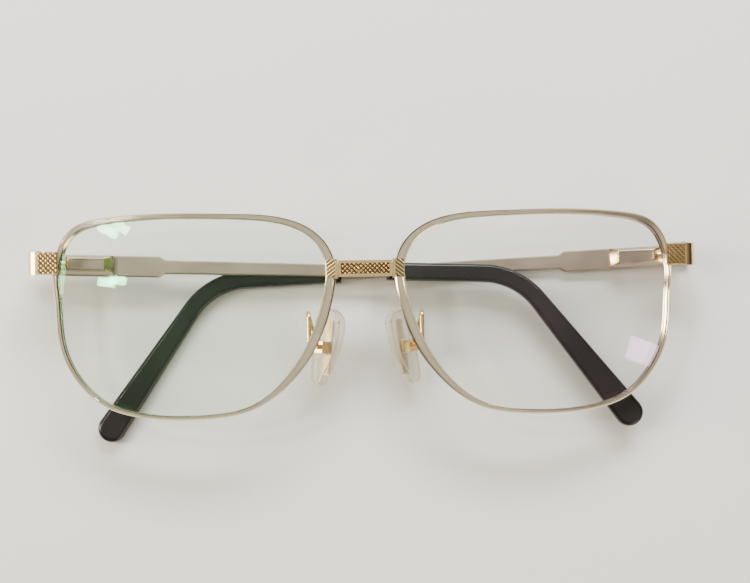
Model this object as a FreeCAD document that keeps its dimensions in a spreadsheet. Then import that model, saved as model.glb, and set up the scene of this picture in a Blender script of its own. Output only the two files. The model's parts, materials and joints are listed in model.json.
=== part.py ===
import FreeCAD, Part
import math
import os

# Folding eyeglasses with full metal rims, spring hinges and adjustable nose pads, stored folded.
# Row frame: +Z up, +X to the right and +Y towards the top of the front, all in millimetres.
# The glasses lie on the outer face of the right temple, which is folded last, with the front on top.
# Left is the -X side and right the +X side, seen from the front of the glasses.

os.makedirs("parts", exist_ok=True)
doc = FreeCAD.newDocument("Eyeglasses")
Vector = FreeCAD.Vector
ORIGIN = Vector(0, 0, 0)
X_AXIS = Vector(1, 0, 0)
Y_AXIS = Vector(0, 1, 0)
Z_AXIS = Vector(0, 0, 1)
SIDES = {"left": -1, "right": 1}

# ---------------------------------------------------------------- driving dimensions
SIZES = {
    # lenses and how the front is bowed and leaned
    "lens_width": 54.6,
    "lens_height": 40.0,
    "lens_gap": 16.6,
    "lens_drop": 9.35,
    "lens_front_radius": 110,
    "lens_back_radius": 118,
    "lens_front_rise": 0.95,
    "lens_back_fall": 1.15,
    "bevel_height": 0.45,
    "bevel_half_width": 0.45,
    "lens_play": 0.05,
    "face_form": 4,
    "front_tilt": 5.75,
    "fold_lean": 1.2,
    # eyewire
    "rim_width": 1.1,
    "rim_depth": 2.4,
    "rim_edge": 0.25,
    "groove_depth": 0.5,
    "groove_half_width": 0.55,
    "rim_slit": 0.1,
    # bridge
    "bridge_gap": 0.1,
    "bridge_height": 3.3,
    "bridge_thick": 1.6,
    "bridge_proud": 0.35,
    "bridge_border": 0.55,
    "inlay_depth": 0.35,
    "inlay_thick": 0.25,
    "solder_tab_height": 2.0,
    "solder_tab_thick": 0.9,
    "collar_height": 3.9,
    "collar_width": 2.35,
    "collar_wall": 0.25,
    "collar_inset": 0.15,
    # endpiece strip, closing blocks and their screw
    "strip_thick": 1.3,
    "strip_height": 4.6,
    "strip_rise": 2.15,
    "strip_inset": 0.1,
    "strip_reach": 6.3,
    "strip_bend": 2.4,
    "strip_proud": 0.45,
    "strip_depth": 4.25,
    "block_depth": 2.4,
    "block_height": 4.4,
    "block_reach": 2.2,
    "closing_screw_radius": 0.5,
    "closing_head_radius": 0.85,
    "closing_head_height": 0.7,
    # hinge
    "knuckle_radius": 1.15,
    "knuckle_gap": 0.15,
    "eye_height": 1.4,
    "neck_height": 1.1,
    "ear_height": 1.2,
    "ear_play": 0.02,
    "foot_thick": 1.1,
    "foot_depth": 1.5,
    "hinge_rise": 0.3,
    "hinge_screw_radius": 0.6,
    "hinge_head_radius": 1.0,
    "hinge_head_height": 0.45,
    "screw_play": 0.04,
    "slot_width": 0.25,
    "slot_depth": 0.2,
    # spring box on the temple
    "box_start": 2.3,
    "box_length": 11.8,
    "box_top": 1.2,
    "box_half_base": 2.0,
    "box_half_top": 1.25,
    "box_shoulder_share": 0.55,
    "box_front_slope": 2.4,
    "box_back_slope": 1.8,
    "bore_radius": 0.9,
    "bore_end": 12.8,
    "bush_start": 5.9,
    "bush_length": 0.6,
    "stem_radius": 0.4,
    "stem_end": 11.6,
    "nut_radius": 0.75,
    "nut_length": 0.6,
    "slide_play": 0.03,
    "spring_wire": 0.22,
    "spring_radius": 0.62,
    "spring_coils": 7,
    # temple
    "temple_thick": 1.3,
    "temple_drop": 2.15,
    "butt_reach": 3.2,
    "butt_gap": 0.05,
    "butt_height": 3.7,
    "butt_length": 5.0,
    "blade_height": 4.4,
    "blade_end": 23.5,
    "shoulder_length": 1.2,
    "bar_start_height": 2.9,
    "bar_end_height": 2.4,
    "tip_start": 71.4,
    "core_radius": 0.55,
    "temple_edge": 0.25,
    # temple tip
    "tip_start_height": 3.8,
    "tip_end_height": 5.8,
    "tip_thick": 2.6,
    "tip_shift": 0.15,
    "tip_edge": 0.9,
    "bend_station": 99,
    "bend_angle": 52.2,
    "bend_uneven": 1.5,
    "bend_radius": 15,
    "tip_length": 40,
    "core_short": 6,
    # nose pads
    "pad_length": 16.4,
    "pad_width": 7.4,
    "pad_thick": 1.8,
    "pad_edge": 0.7,
    "pad_top_share": 0.75,
    "pad_foot_share": 0.6,
    "pad_waist_share": 0.72,
    "pad_waist_drop_share": 0.2,
    "pad_foot_start_share": 0.1,
    "pad_foot_low_share": 0.45,
    "pad_out": 7.75,
    "pad_down": 16.1,
    "pad_back": 8.6,
    "pad_turn": 43,
    "pad_lean": 6.5,
    "core_length": 11.5,
    "core_width": 1.8,
    "core_thick": 0.5,
    "boss_width": 1.6,
    "boss_height": 2.0,
    "boss_depth": 1.7,
    "pad_box_wall": 0.4,
    "pad_box_play": 0.2,
    "pad_box_floor_gap": 0.35,
    "pad_screw_radius": 0.35,
    "pad_head_radius": 0.75,
    "pad_head_height": 0.4,
    "pad_rock_room": 2.4,
    "arm_radius": 0.5,
    "arm_bend": 1.0,
    "arm_foot_out": 10.5,
    "arm_foot_down": 14.2,
    "arm_stand_off": 3.2,
    "arm_loop_out": 11.9,
    "arm_loop_down": 9.0,
    "arm_loop_back": 4.5,
}

sheet = doc.addObject("Spreadsheet::Sheet", "Sizes")
for row, (alias, value) in enumerate(SIZES.items(), start=1):
    sheet.set(f"A{row}", alias)
    sheet.set(f"B{row}", str(value))
    sheet.setAlias(f"B{row}", alias)
doc.recompute()


def size(alias):
    """A driving dimension, read back from the sheet."""
    return float(sheet.get(alias))


# ---------------------------------------------------------------- lens shape
# The lens outline, going round from the temple side over the top: share of the half width (positive
# towards the nose), share of the half height, and the eyewire's width there as a share of rim_width.
OUTLINE = [
    (-1.0, 0.30, 1.0),
    (-0.975, 0.66, 1.25),
    (-0.888, 0.853, 1.4),
    (-0.667, 0.956, 1.25),
    (-0.25, 1.0, 1.0),
    (0.30, 0.986, 1.0),
    (0.66, 0.935, 1.2),
    (0.886, 0.794, 1.4),
    (0.99, 0.58, 1.7),
    (0.986, 0.218, 1.85),
    (0.875, -0.254, 1.8),
    (0.68, -0.658, 1.3),
    (0.45, -0.901, 0.9),
    (0.10, -0.995, 0.8),
    (-0.347, -0.974, 0.8),
    (-0.65, -0.847, 0.85),
    (-0.841, -0.598, 0.95),
    (-0.95, -0.29, 1.0),
]
STATIONS = 48
half_width = size("lens_width") / 2
half_height = size("lens_height") / 2


def sag(radius, x, y):
    """How far a ball of this radius falls back from its front point."""
    return radius - math.sqrt(radius * radius - x * x - y * y)


def edge_stations(side):
    """Points round the lens opening with their outward direction, eyewire width and height."""
    spline = Part.BSplineCurve()
    knots = [Vector(-side * u * half_width, v * half_height, w * size("rim_width")) for u, v, w in OUTLINE]
    spline.interpolate(Points=knots, PeriodicFlag=True)
    first = spline.FirstParameter
    step = (spline.LastParameter - first) / STATIONS
    stations = []
    for n in range(STATIONS):
        point = spline.value(first + n * step)
        along = spline.tangent(first + n * step)[0]
        outward = Vector(along.y, -along.x, 0).normalize()
        if outward.dot(Vector(point.x, point.y, 0)) < 0:
            outward = outward * -1
        height = -sag(size("lens_front_radius"), point.x, point.y)
        stations.append((Vector(point.x, point.y, 0), outward, point.z, height))
    return stations


# ---------------------------------------------------------------- derived places
lens_out = (size("lens_gap") + size("lens_width")) / 2
pin_to_plate = size("knuckle_radius") + size("knuckle_gap")
pin_to_outside = pin_to_plate + size("temple_thick")
hinge_depth = size("strip_depth") + size("butt_gap") + size("butt_reach")
tip_middle = -pin_to_plate - size("temple_thick") / 2 + size("tip_shift")


def lens_frame(side):
    """The lens's own frame inside the front: its middle, turned by the face form."""
    turn = FreeCAD.Rotation(Y_AXIS, side * size("face_form"))
    return FreeCAD.Placement(Vector(side * lens_out, -size("lens_drop"), 0), turn)


def rim_middle(side, x, y):
    """Height of the eyewire's middle in the front frame, at a place given in the front frame."""
    local_x = x - side * lens_out
    local_y = y + size("lens_drop")
    point = Vector(local_x, local_y, -sag(size("lens_front_radius"), local_x, local_y))
    return lens_frame(side).multVec(point).z


# The lens opening of the right rim, seen squarely from the front.
opening = [lens_frame(1).multVec(place + Z_AXIS * height).x for place, _, _, height in edge_stations(1)]
nose_edge = min(opening)
temple_edge = max(opening)
strip_inner = temple_edge + size("strip_inset")
strip_outer = strip_inner + size("strip_reach")
pin_out = strip_outer - pin_to_outside
strip_front = rim_middle(1, strip_inner, size("strip_rise")) + size("rim_depth") / 2 + size("strip_proud")
front_turn = FreeCAD.Rotation(Y_AXIS, size("fold_lean")) * FreeCAD.Rotation(X_AXIS, size("front_tilt"))
hinge_turn = FreeCAD.Rotation(Y_AXIS, size("fold_lean"))


def pin_in_front(side):
    """The hinge pin's middle, in the front frame."""
    return Vector(side * pin_out, size("strip_rise") + size("hinge_rise"), strip_front - hinge_depth)


# The right temple's tip lies on the table, which sets how high the front stands.
tip_underside = tip_middle - size("tip_thick") / 2
front_height = -tip_underside - front_turn.multVec(pin_in_front(1)).z
front_frame = FreeCAD.Placement(Vector(0, 0, front_height), front_turn)


def pin_place(side):
    return front_frame.multVec(pin_in_front(side))


def hinge_frame(side):
    """At the pin, square to the front across and parallel to the pin along Y."""
    return FreeCAD.Placement(pin_place(side), hinge_turn)


def temple_frame(side):
    """At the pin; the folded temple runs along -side X and drops a little towards its tip."""
    return FreeCAD.Placement(pin_place(side), FreeCAD.Rotation(Z_AXIS, side * size("temple_drop")))


# ---------------------------------------------------------------- helpers
nodes = {}


def keep(obj, name, frame):
    """Names a finished sub-part and puts it in its place."""
    obj.Label = name
    obj.Placement = frame
    nodes[name] = obj
    return obj


def box(name, corner, opposite, place=None):
    """A Part::Box between two opposite corners given in the frame of its sub-part."""
    low = [min(pair) for pair in zip(corner, opposite)]
    high = [max(pair) for pair in zip(corner, opposite)]
    solid = doc.addObject("Part::Box", name)
    solid.Length = high[0] - low[0]
    solid.Width = high[1] - low[1]
    solid.Height = high[2] - low[2]
    at_low = FreeCAD.Placement(Vector(*low), FreeCAD.Rotation())
    solid.Placement = place * at_low if place else at_low
    return solid


def rod(name, radius, length, start, direction, play=""):
    """A Part::Cylinder along a direction, its radius bound to the sheet."""
    solid = doc.addObject("Part::Cylinder", name)
    solid.setExpression("Radius", f"Sizes.{radius}{play}")
    solid.Height = length
    solid.Placement = FreeCAD.Placement(Vector(*start), FreeCAD.Rotation(Z_AXIS, direction))
    return solid


def fuse(name, *pieces):
    solid = doc.addObject("Part::MultiFuse", name)
    solid.Shapes = list(pieces)
    solid.Refine = True
    return solid


def cut(name, base, *tools):
    """The base without its tools, which are joined first when there are several."""
    solid = doc.addObject("Part::Cut", name)
    solid.Base = base
    solid.Tool = tools[0] if len(tools) == 1 else fuse(name + "_tools", *tools)
    solid.Refine = True
    return solid


def feature(name, shape):
    solid = doc.addObject("Part::Feature", name)
    solid.Shape = shape
    return solid


def origin_plane(body, role):
    return next(plane for plane in body.Origin.OriginFeatures if plane.Role == role)


def sketch_on(body, name, role, edges):
    """A closed sketch on one of the body's own origin planes, its ends joined edge to edge."""
    sketch = body.newObject("Sketcher::SketchObject", name)
    sketch.AttachmentSupport = [(origin_plane(body, role), "")]
    sketch.MapMode = "FlatFace"
    for edge in edges:
        sketch.addGeometry(edge, False)
    return sketch


def outline(points):
    """Straight sketch edges round a list of flat points."""
    corners = [Vector(x, y, 0) for x, y in points]
    following = corners[1:] + corners[:1]
    return [Part.LineSegment(start, end) for start, end in zip(corners, following)]


def pad_body(name, role, edges, length_alias, both_ways=True):
    """A body with one sketch padded by a sheet length."""
    body = doc.addObject("PartDesign::Body", name)
    sketch = sketch_on(body, name + "_sketch", role, edges)
    pad = body.newObject("PartDesign::Pad", name + "_pad")
    pad.Profile = sketch
    pad.setExpression("Length", f"Sizes.{length_alias}")
    pad.Midplane = both_ways
    doc.recompute()
    return body, pad


def round_edges(body, pad, name, radius_alias, wanted, kind="Fillet"):
    """Rounds or bevels the pad's edges that the test picks."""
    picked = [f"Edge{n}" for n, edge in enumerate(pad.Shape.Edges, start=1) if wanted(edge)]
    dress = body.newObject(f"PartDesign::{kind}", name)
    dress.Base = (pad, picked)
    dress.setExpression("Radius" if kind == "Fillet" else "Size", f"Sizes.{radius_alias}")
    body.Tip = dress
    doc.recompute()
    return dress


def on_caps(axis, tolerance=1e-4):
    """Picks the edges that lie wholly in either end face of a pad along an axis."""
    def test(edge):
        box_of_edge = edge.BoundBox
        span = {"x": box_of_edge.XLength, "y": box_of_edge.YLength, "z": box_of_edge.ZLength}[axis]
        return span < tolerance
    return test


def bent_wire(points, radius):
    """A path of straight runs joined by tangent arcs."""
    edges = []
    start = points[0]
    for before, corner, after in zip(points, points[1:], points[2:]):
        back = (before - corner).normalize()
        ahead = (after - corner).normalize()
        half_turn = (math.pi - back.getAngle(ahead)) / 2
        reach = radius * math.tan(half_turn)
        inside = (back + ahead).normalize()
        middle = corner + inside * (radius / math.cos(half_turn) - radius)
        edges.append(Part.LineSegment(start, corner + back * reach).toShape())
        edges.append(Part.Arc(corner + back * reach, middle, corner + ahead * reach).toShape())
        start = corner + ahead * reach
    edges.append(Part.LineSegment(start, points[-1]).toShape())
    return Part.Wire(edges)


def wire_solid(path, radius):
    """Round wire along a path."""
    first = path.Edges[0]
    start = first.Vertexes[0].Point
    heading = first.tangentAt(first.FirstParameter)
    ring = Part.Wire([Part.Circle(start, heading, radius).toShape()])
    return path.makePipeShell([ring], True, True)


# ---------------------------------------------------------------- rings round the lens
def edge_curve(stations, across, lift, flat=False):
    """A closed curve that keeps a distance outside the lens opening and a height off its middle."""
    points = []
    for place, outward, width, height in stations:
        reach = across(width)
        points.append(place + outward * reach + Z_AXIS * (lift if flat else height + lift))
    curve = Part.BSplineCurve()
    curve.interpolate(Points=points, PeriodicFlag=True, Parameters=[float(n) for n in range(STATIONS + 1)])
    return curve.toShape()


def ring_solid(stations, section):
    """A closed ring whose cross-section is a polygon of (distance outside the lens, height)."""
    curves = [edge_curve(stations, across, lift) for across, lift in section]
    faces = [Part.makeRuledSurface(a, b) for a, b in zip(curves, curves[1:] + curves[:1])]
    shell = Part.makeShell(faces)
    shell.sewShape()
    ring = Part.makeSolid(Part.Shell(shell.Faces))
    if ring.Volume < 0:
        ring.reverse()
    return ring


def rim_section(with_groove):
    """The eyewire's section: bevelled edges, and the groove that holds the lens."""
    half = size("rim_depth") / 2
    edge = size("rim_edge")
    inside = [
        (lambda w: 0, half - edge),
        (lambda w: edge, half),
    ]
    outside = [
        (lambda w: w - edge, half),
        (lambda w: w, half - edge),
        (lambda w: w, edge - half),
        (lambda w: w - edge, -half),
    ]
    under = [
        (lambda w: edge, -half),
        (lambda w: 0, edge - half),
    ]
    groove = [
        (lambda w: 0, -size("groove_half_width")),
        (lambda w: size("groove_depth"), 0),
        (lambda w: 0, size("groove_half_width")),
    ]
    return inside + outside + under + (groove if with_groove else [])


def lens_solid(stations):
    """A meniscus lens cut to the outline, with the V bevel that sits in the groove."""
    play = size("lens_play")
    margin = 2 * size("rim_depth")
    deepest = min(height for _, _, _, height in stations)
    rings = [
        edge_curve(stations, lambda w: -play, margin, flat=True),
        edge_curve(stations, lambda w: -play, size("bevel_half_width")),
        edge_curve(stations, lambda w: size("bevel_height") - play, 0),
        edge_curve(stations, lambda w: -play, -size("bevel_half_width")),
        edge_curve(stations, lambda w: -play, deepest - margin, flat=True),
    ]
    faces = [Part.makeRuledSurface(a, b) for a, b in zip(rings, rings[1:])]
    faces += [Part.Face(Part.Wire([rings[0]])), Part.Face(Part.Wire([rings[-1]]))]
    shell = Part.makeShell(faces)
    shell.sewShape()
    cutter = Part.makeSolid(Part.Shell(shell.Faces))
    if cutter.Volume < 0:
        cutter.reverse()
    front_radius = size("lens_front_radius")
    back_radius = size("lens_back_radius")
    front_ball = Part.makeSphere(front_radius, Vector(0, 0, size("lens_front_rise") - front_radius))
    back_ball = Part.makeSphere(back_radius, Vector(0, 0, -size("lens_back_fall") - back_radius))
    return cutter.common(front_ball).cut(back_ball)


# ---------------------------------------------------------------- rims and lenses
rim_envelopes = {}
slit_low = size("strip_rise") - size("rim_slit") / 2
for side_name, side in SIDES.items():
    stations = edge_stations(side)
    into_front = lens_frame(side).Matrix
    ring = ring_solid(stations, rim_section(True)).transformed(into_front, True)
    envelope = ring_solid(stations, rim_section(False)).transformed(into_front, True)
    rim_envelopes[side_name] = envelope
    slit_reach = size("strip_reach")
    slit_corner = Vector(side * strip_inner - slit_reach / 2, slit_low, strip_front - hinge_depth)
    slit = Part.makeBox(slit_reach, size("rim_slit"), hinge_depth, slit_corner)
    keep(feature(f"rim_{side_name}", ring.cut(slit)), f"rim_{side_name}", front_frame)
    lens = lens_solid(stations).transformed(into_front, True)
    keep(feature(f"lens_{side_name}", lens), f"lens_{side_name}", front_frame)


def without_rim(name, base, side_name):
    """The base with the eyewire's outside taken away, so that it seats on the eyewire."""
    return cut(name, base, feature(name + "_seat", rim_envelopes[side_name]))


# ---------------------------------------------------------------- bridge
# A bordered bar with a beaded strip let into its face, soldered between two saddle collars that
# grip the eyewires from the nose side.
bar_front = rim_middle(1, nose_edge, 0) + size("rim_depth") / 2 + size("bridge_proud")
bar_back = bar_front - size("bridge_thick")
collar_inner = nose_edge - size("collar_width")
half_bar = collar_inner - size("bridge_gap")
half_tall = size("bridge_height") / 2
half_tab = size("solder_tab_height") / 2
inner_half = half_bar - size("bridge_border")
inner_tall = half_tall - size("bridge_border")

bar_body, bar_pad = pad_body(
    "bridge_blank", "XY_Plane",
    outline([(-half_bar, -half_tall), (half_bar, -half_tall), (half_bar, half_tall), (-half_bar, half_tall)]),
    "bridge_thick", both_ways=False)
recess_sketch = sketch_on(
    bar_body, "bridge_recess_sketch", "XY_Plane",
    outline([(-inner_half, -inner_tall), (inner_half, -inner_tall), (inner_half, inner_tall),
             (-inner_half, inner_tall)]))
recess_sketch.setExpression("AttachmentOffset.Base.z", "Sizes.bridge_thick - Sizes.inlay_depth")
recess = bar_body.newObject("PartDesign::Pocket", "bridge_recess")
recess.Profile = recess_sketch
recess.setExpression("Length", "Sizes.inlay_depth")
recess.Reversed = True
bar_body.Tip = recess
bar_body.Placement = FreeCAD.Placement(Vector(0, 0, bar_back), FreeCAD.Rotation())
tab = box("bridge_tab", (-collar_inner, -half_tab, bar_back),
          (collar_inner, half_tab, bar_back + size("solder_tab_thick")))
keep(fuse("bridge_bar", bar_body, tab), "bridge_bar", front_frame)

inlay_back = bar_front - size("inlay_depth")
inlay_body, _ = pad_body(
    "bridge_inlay_strip", "XY_Plane",
    outline([(-inner_half, -inner_tall), (inner_half, -inner_tall), (inner_half, inner_tall),
             (-inner_half, inner_tall)]),
    "inlay_thick", both_ways=False)
in_recess = FreeCAD.Placement(Vector(0, 0, inlay_back), FreeCAD.Rotation())
keep(inlay_body, "bridge_inlay", front_frame * in_recess)

for side_name, side in SIDES.items():
    middle = rim_middle(side, side * nose_edge, 0)
    half_deep = size("rim_depth") / 2 + size("collar_wall")
    near = side * collar_inner
    far = side * (nose_edge - size("collar_inset"))
    blank = box(f"collar_blank_{side_name}", (near, -size("collar_height") / 2, middle - half_deep),
                (far, size("collar_height") / 2, middle + half_deep))
    collar = without_rim(f"bridge_collar_{side_name}", blank, side_name)
    keep(collar, f"bridge_collar_{side_name}", front_frame)

# ---------------------------------------------------------------- endpieces and closing blocks
# Each endpiece is a strip bent back at its outer end. Behind it two blocks on the eyewire's cut ends
# are drawn together by a screw, which closes the rim on the lens.
strip_back = strip_front - size("strip_thick")
leg_end = strip_front - size("strip_depth")
half_slot = size("slot_width") / 2
bend_out = size("strip_bend")
bend_in = size("strip_bend") - size("strip_thick")
for side_name, side in SIDES.items():
    outer = side * strip_outer
    inner = side * strip_inner
    leg_inner = side * (strip_outer - size("strip_thick"))
    outer_arc_centre = Vector(outer - side * bend_out, strip_front - bend_out, 0)
    diagonal = Vector(side * math.sqrt(0.5), math.sqrt(0.5), 0)
    overrun = leg_end - size("strip_thick")
    profile = [
        Part.LineSegment(Vector(inner, strip_back, 0), Vector(inner, strip_front, 0)),
        Part.LineSegment(Vector(inner, strip_front, 0), Vector(outer - side * bend_out, strip_front, 0)),
        Part.Arc(Vector(outer - side * bend_out, strip_front, 0), outer_arc_centre + diagonal * bend_out,
                 Vector(outer, strip_front - bend_out, 0)),
        Part.LineSegment(Vector(outer, strip_front - bend_out, 0), Vector(outer, overrun, 0)),
        Part.LineSegment(Vector(outer, overrun, 0), Vector(leg_inner, overrun, 0)),
        Part.LineSegment(Vector(leg_inner, overrun, 0), Vector(leg_inner, strip_front - bend_out, 0)),
        Part.Arc(Vector(leg_inner, strip_front - bend_out, 0), outer_arc_centre + diagonal * bend_in,
                 Vector(outer - side * bend_out, strip_back, 0)),
        Part.LineSegment(Vector(outer - side * bend_out, strip_back, 0), Vector(inner, strip_back, 0)),
    ]
    # The XZ plane of a body looks along +Y, so its sketch has X across and Z up.
    strip, _ = pad_body(f"strip_{side_name}", "XZ_Plane", profile, "strip_height")
    strip.Placement = FreeCAD.Placement(Vector(0, size("strip_rise"), 0), FreeCAD.Rotation())
    in_front = front_frame.inverse() * hinge_frame(side)
    reach = size("strip_reach")
    butt_room = box(f"butt_room_{side_name}", (-reach, -reach, -reach),
                    (reach, reach, size("butt_reach") + size("butt_gap")), in_front)
    seated = without_rim(f"strip_seated_{side_name}", strip, side_name)
    keep(cut(f"endpiece_{side_name}", seated, butt_room), f"endpiece_{side_name}", front_frame)

    rim_outer = temple_edge + size("rim_width")
    block_near = side * (temple_edge + size("groove_depth"))
    block_far = side * (rim_outer + size("block_reach"))
    block_back = strip_back - size("block_depth")
    screw_at = side * (rim_outer + size("block_reach") / 2)
    screw_deep = strip_back - size("block_depth") / 2
    top = size("strip_rise") + size("block_height") / 2
    bottom = size("strip_rise") - size("block_height") / 2
    split = size("rim_slit") / 2
    head_top = top - size("closing_head_height")
    block_spans = {
        "upper": (size("strip_rise") + split, top),
        "lower": (bottom, size("strip_rise") - split),
    }
    for level, (low, high) in block_spans.items():
        blank = box(f"block_{level}_{side_name}", (block_near, low, block_back),
                    (block_far, high, strip_back))
        hole = rod(f"block_hole_{level}_{side_name}", "closing_screw_radius", high - low,
                   (screw_at, low, screw_deep), Y_AXIS, " + Sizes.screw_play / 2" if level == "upper" else "")
        tools = [hole]
        if level == "upper":
            tools.append(rod(f"block_sink_{side_name}", "closing_head_radius", size("closing_head_height"),
                             (screw_at, head_top, screw_deep), Y_AXIS, " + Sizes.screw_play"))
        drilled = cut(f"block_drilled_{level}_{side_name}", blank, *tools)
        keep(without_rim(f"closing_block_{level}_{side_name}", drilled, side_name),
             f"closing_block_{level}_{side_name}", front_frame)

    shank = rod(f"closing_shank_{side_name}", "closing_screw_radius", head_top - bottom,
                (screw_at, bottom, screw_deep), Y_AXIS)
    head = rod(f"closing_head_{side_name}", "closing_head_radius", size("closing_head_height"),
               (screw_at, head_top, screw_deep), Y_AXIS)
    slot = box(f"closing_slot_{side_name}",
               (screw_at - size("closing_head_radius"), top - size("slot_depth"), screw_deep - half_slot),
               (screw_at + size("closing_head_radius"), top, screw_deep + half_slot))
    keep(cut(f"closing_screw_{side_name}", fuse(f"closing_solid_{side_name}", shank, head), slot),
         f"closing_screw_{side_name}", front_frame)

# ---------------------------------------------------------------- hinges
# Two ears soldered inside the endpiece's leg hold the spring-loaded eye of the temple on a screw.
half_eye = size("eye_height") / 2
ear_top = half_eye + size("ear_play") + size("ear_height")
foot_inner = pin_to_outside - size("strip_thick") - size("foot_thick")
foot_start = size("butt_reach") + size("butt_gap") + size("ear_play")
for side_name, side in SIDES.items():
    ears = []
    for level, low in {"upper": half_eye + size("ear_play"), "lower": -ear_top}.items():
        knuckle = rod(f"ear_{level}_{side_name}", "knuckle_radius", size("ear_height"), (0, low, 0), Y_AXIS)
        plate = box(f"ear_plate_{level}_{side_name}", (-size("knuckle_radius"), low, 0),
                    (size("knuckle_radius"), low + size("ear_height"), foot_start))
        ears += [knuckle, plate]
    foot_near = side * foot_inner
    foot_far = side * (pin_to_outside - size("strip_thick"))
    foot_middle = size("butt_reach") - size("foot_thick")
    foot = box(f"hinge_foot_{side_name}", (foot_near, -ear_top, foot_start),
               (foot_far, ear_top, foot_start + size("foot_depth")))
    web = box(f"hinge_web_{side_name}", (foot_near, -ear_top, foot_middle),
              (side * size("knuckle_radius"), ear_top, foot_start))
    leaf = fuse(f"hinge_leaf_{side_name}", foot, web, *ears)
    bore_low = rod(f"hinge_thread_{side_name}", "hinge_screw_radius", size("ear_height"),
                   (0, -ear_top, 0), Y_AXIS)
    bore_high = rod(f"hinge_bore_{side_name}", "hinge_screw_radius", size("ear_height"),
                    (0, half_eye + size("ear_play"), 0), Y_AXIS, " + Sizes.screw_play")
    bored = cut(f"hinge_front_{side_name}", leaf, bore_low, bore_high)
    keep(bored, f"hinge_front_{side_name}", hinge_frame(side))

    shank = rod(f"hinge_shank_{side_name}", "hinge_screw_radius", 2 * ear_top, (0, -ear_top, 0), Y_AXIS)
    head = rod(f"hinge_head_{side_name}", "hinge_head_radius", size("hinge_head_height"),
               (0, ear_top, 0), Y_AXIS)
    head_top = ear_top + size("hinge_head_height")
    slot = box(f"hinge_slot_{side_name}",
               (-size("hinge_head_radius"), head_top - size("slot_depth"), -half_slot),
               (size("hinge_head_radius"), head_top, half_slot))
    keep(cut(f"hinge_screw_{side_name}", fuse(f"hinge_screw_solid_{side_name}", shank, head), slot),
         f"hinge_screw_{side_name}", hinge_frame(side))

# ---------------------------------------------------------------- spring hinge inside the temple
# The eye's stem slides in the box on the temple. A bush in the box holds one end of the spring and
# a nut on the stem the other, so pulling the eye out squeezes the spring.
bush_end = size("bush_start") + size("bush_length")
nut_start = size("stem_end") - size("nut_length")


def oblong(near, far, half_tall, height):
    """A level rectangle at a height, as a wire."""
    corners = [(near, -half_tall), (far, -half_tall), (far, half_tall), (near, half_tall), (near, -half_tall)]
    return Part.makePolygon([Vector(x, y, height) for x, y in corners])


for side_name, side in SIDES.items():
    along = Vector(-side, 0, 0)
    frame = temple_frame(side)

    # The eye stays square to the pin although the temple drops away from it.
    pin_axis = FreeCAD.Rotation(Z_AXIS, -side * size("temple_drop")).multVec(Y_AXIS)
    eye_foot = pin_axis * -half_eye
    eye = rod(f"eye_{side_name}", "knuckle_radius", size("eye_height"), eye_foot, pin_axis)
    half_neck = size("neck_height") / 2
    neck = box(f"neck_{side_name}", (0, -half_neck, -size("stem_radius")),
               (-side * size("bush_start"), half_neck, size("stem_radius")))
    slide = rod(f"slide_{side_name}", "bore_radius", size("bush_start") - size("box_start"),
                (-side * size("box_start"), 0, 0), along, " - Sizes.slide_play")
    stem = rod(f"stem_{side_name}", "stem_radius", size("stem_end") - size("box_start"),
               (-side * size("box_start"), 0, 0), along)
    eye_bore = rod(f"eye_bore_{side_name}", "hinge_screw_radius", size("eye_height"), eye_foot, pin_axis,
                   " + Sizes.screw_play")
    carriage = fuse(f"carriage_solid_{side_name}", eye, neck, slide, stem)
    keep(cut(f"flex_carriage_{side_name}", carriage, eye_bore), f"flex_carriage_{side_name}", frame)

    nut_at = (-side * nut_start, 0, 0)
    nut = rod(f"nut_{side_name}", "nut_radius", size("nut_length"), nut_at, along)
    nut_bore = rod(f"nut_bore_{side_name}", "stem_radius", size("nut_length"), nut_at, along)
    keep(cut(f"flex_nut_{side_name}", nut, nut_bore), f"flex_nut_{side_name}", frame)

    bush_at = (-side * size("bush_start"), 0, 0)
    bush = rod(f"bush_{side_name}", "bore_radius", size("bush_length"), bush_at, along)
    bush_bore = rod(f"bush_bore_{side_name}", "stem_radius", size("bush_length"), bush_at, along,
                    " + Sizes.slide_play")
    keep(cut(f"flex_bush_{side_name}", bush, bush_bore), f"flex_bush_{side_name}", frame)

    # The spring is round wire wound between the bush and the nut.
    wire_radius = size("spring_wire") / 2
    wound = nut_start - bush_end - 2 * wire_radius - 2 * size("slide_play")
    helix = Part.makeHelix(wound / size("spring_coils"), wound, size("spring_radius"))
    ring = Part.Wire([Part.Circle(Vector(size("spring_radius"), 0, 0), Y_AXIS, wire_radius).toShape()])
    coil = Part.Wire(helix).makePipeShell([ring], True, True)
    start = bush_end + wire_radius + size("slide_play")
    lay_down = FreeCAD.Placement(Vector(-side * start, 0, 0), FreeCAD.Rotation(Z_AXIS, along))
    keep(feature(f"flex_spring_{side_name}", coil.transformed(lay_down.Matrix, True)),
         f"flex_spring_{side_name}", frame)

    # The box: bevelled sides and sloping ends, bored lengthways from the hinge end.
    low = -pin_to_plate
    rise = size("box_top") - low
    base_near = -side * size("box_start")
    base_far = -side * (size("box_start") + size("box_length"))
    top_near = -side * (size("box_start") + size("box_front_slope"))
    top_far = -side * (size("box_start") + size("box_length") - size("box_back_slope"))
    middle_lift = low + rise * size("box_shoulder_share")
    rings = [
        oblong(base_near, base_far, size("box_half_base"), low),
        oblong(base_near, base_far, size("box_half_base"), middle_lift),
        oblong(top_near, top_far, size("box_half_top"), size("box_top")),
    ]
    loft = Part.makeLoft(rings, True, True)
    bore = rod(f"box_bore_{side_name}", "bore_radius", size("bore_end"), (0, 0, 0), along)
    keep(cut(f"spring_box_{side_name}", feature(f"box_blank_{side_name}", loft), bore),
         f"spring_box_{side_name}", frame)

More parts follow.
